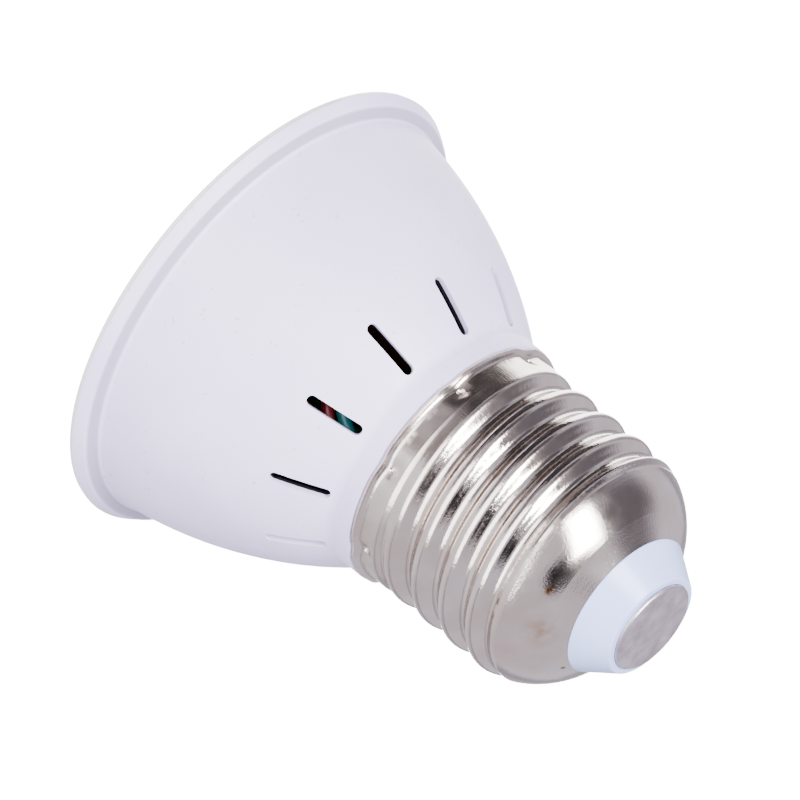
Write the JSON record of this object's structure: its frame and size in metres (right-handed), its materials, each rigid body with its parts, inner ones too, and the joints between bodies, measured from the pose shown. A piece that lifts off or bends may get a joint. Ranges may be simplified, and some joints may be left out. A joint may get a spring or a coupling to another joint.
{
  "type": "grow light bulb",
  "caption": "Cup-shaped LED grow bulb with a screw cap, ring of cooling vents and clear front cover, for plant lighting.",
  "frame": {"origin": "centre of the clear cover's front face", "axes": "+Z along the bulb's axis towards the centre contact, +X square to the driver board's face; the bulb stands on its cover"},
  "size_m": [0.0494, 0.0494, 0.0538],
  "materials": {
    "cup_plastic": "satin moulded white",
    "cap_plating": "nickel-plated rolled sheet",
    "insulator_plastic": "glossy moulded",
    "contact_metal": "dull turned",
    "clear_plastic": "clear moulded",
    "led_board_coat": "white coated aluminium board",
    "red_led_body": "moulded package with clear window",
    "blue_led_body": "moulded package with clear window",
    "board_laminate": "green coated laminate",
    "film_coat": "dipped",
    "drum_sleeve": "shrink sleeve",
    "rectifier_mould": "moulded",
    "fuse_coat": "flameproof coat",
    "shrink_sleeve": "shrunk",
    "resistor_coat": "lacquered",
    "solder": "bright solder",
    "dark_red_insulation": "extruded",
    "teal_insulation": "extruded",
    "white_insulation": "extruded",
    "black_insulation": "extruded"
  },
  "bodies": {
    "root": {"lamp_cup": "cup_plastic", "screw_cap_shell": "cap_plating", "cap_insulator": "insulator_plastic", "centre_contact": "contact_metal", "front_cover": "clear_plastic", "led_board": "led_board_coat", "red_leds": "red_led_body", "blue_leds": "blue_led_body", "driver_board": "board_laminate", "film_capacitor": "film_coat", "smoothing_capacitor": "drum_sleeve", "bridge_rectifier": "rectifier_mould", "fuse_resistor": "fuse_coat", "fuse_sleeve": "shrink_sleeve", "bleed_resistor": "resistor_coat", "discharge_resistor": "resistor_coat", "driver_board_joints": "solder", "led_board_joints": "solder", "led_positive_wire": "dark_red_insulation", "led_negative_wire": "teal_insulation", "live_wire": "white_insulation", "neutral_wire": "black_insulation"}
  },
  "joints": []
}
